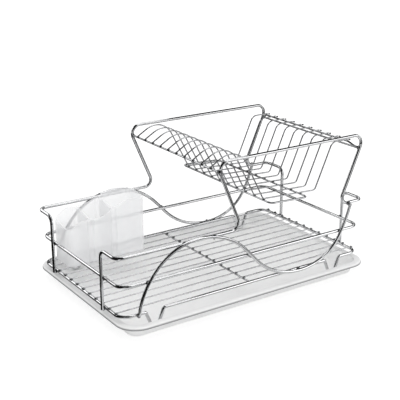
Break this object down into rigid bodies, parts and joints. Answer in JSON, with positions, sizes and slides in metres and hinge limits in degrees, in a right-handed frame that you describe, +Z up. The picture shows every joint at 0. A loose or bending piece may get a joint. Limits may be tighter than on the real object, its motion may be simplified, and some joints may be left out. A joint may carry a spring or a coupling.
{
  "type": "dish drying rack",
  "caption": "Wire dish drying rack with wave sides, a raised plate rack, a lift-out utensil holder and a shallow drip tray.",
  "frame": {"origin": "under the centre of the drip tray, on the surface it stands on", "axes": "+X along the rack towards its plate rack end, +Y towards the side with the utensil holder, +Z up"},
  "size_m": [0.455, 0.3, 0.2307],
  "materials": {
    "wire": "polished chrome plate",
    "tray_plastic": "white, satin",
    "holder_plastic": "frosted, translucent"
  },
  "bodies": {
    "tray": {"drip_tray": "tray_plastic"},
    "rack": {"base_ring": "wire", "middle_ring": "wire", "front_frame": "wire", "back_frame": "wire", "front_wave": "wire", "back_wave": "wire", "floor_wire_1": "wire", "floor_wire_2": "wire", "floor_wire_3": "wire", "floor_wire_4": "wire", "floor_wire_5": "wire", "floor_wire_6": "wire", "floor_wire_7": "wire", "floor_wire_8": "wire", "floor_wire_9": "wire", "floor_wire_10": "wire", "floor_wire_11": "wire", "floor_wire_12": "wire", "floor_cross_wire": "wire", "plate_left_rail": "wire", "plate_right_rail": "wire", "plate_outer_rail": "wire", "plate_bottom_frame": "wire", "plate_wire_1": "wire", "plate_wire_2": "wire", "plate_wire_3": "wire", "plate_wire_4": "wire", "plate_wire_5": "wire", "plate_wire_6": "wire", "plate_wire_7": "wire", "plate_wire_8": "wire", "plate_wire_9": "wire", "plate_wire_10": "wire"},
    "holder": {"utensil_holder": "holder_plastic"}
  },
  "joints": [
    {"name": "rack_lift", "type": "slide", "parent": "tray", "child": "rack", "axis": [0, 0, 1], "range_m": [0, 0.06]},
    {"name": "holder_lift", "type": "slide", "parent": "rack", "child": "holder", "axis": [0, 0, 1], "range_m": [0, 0.1]}
  ]
}
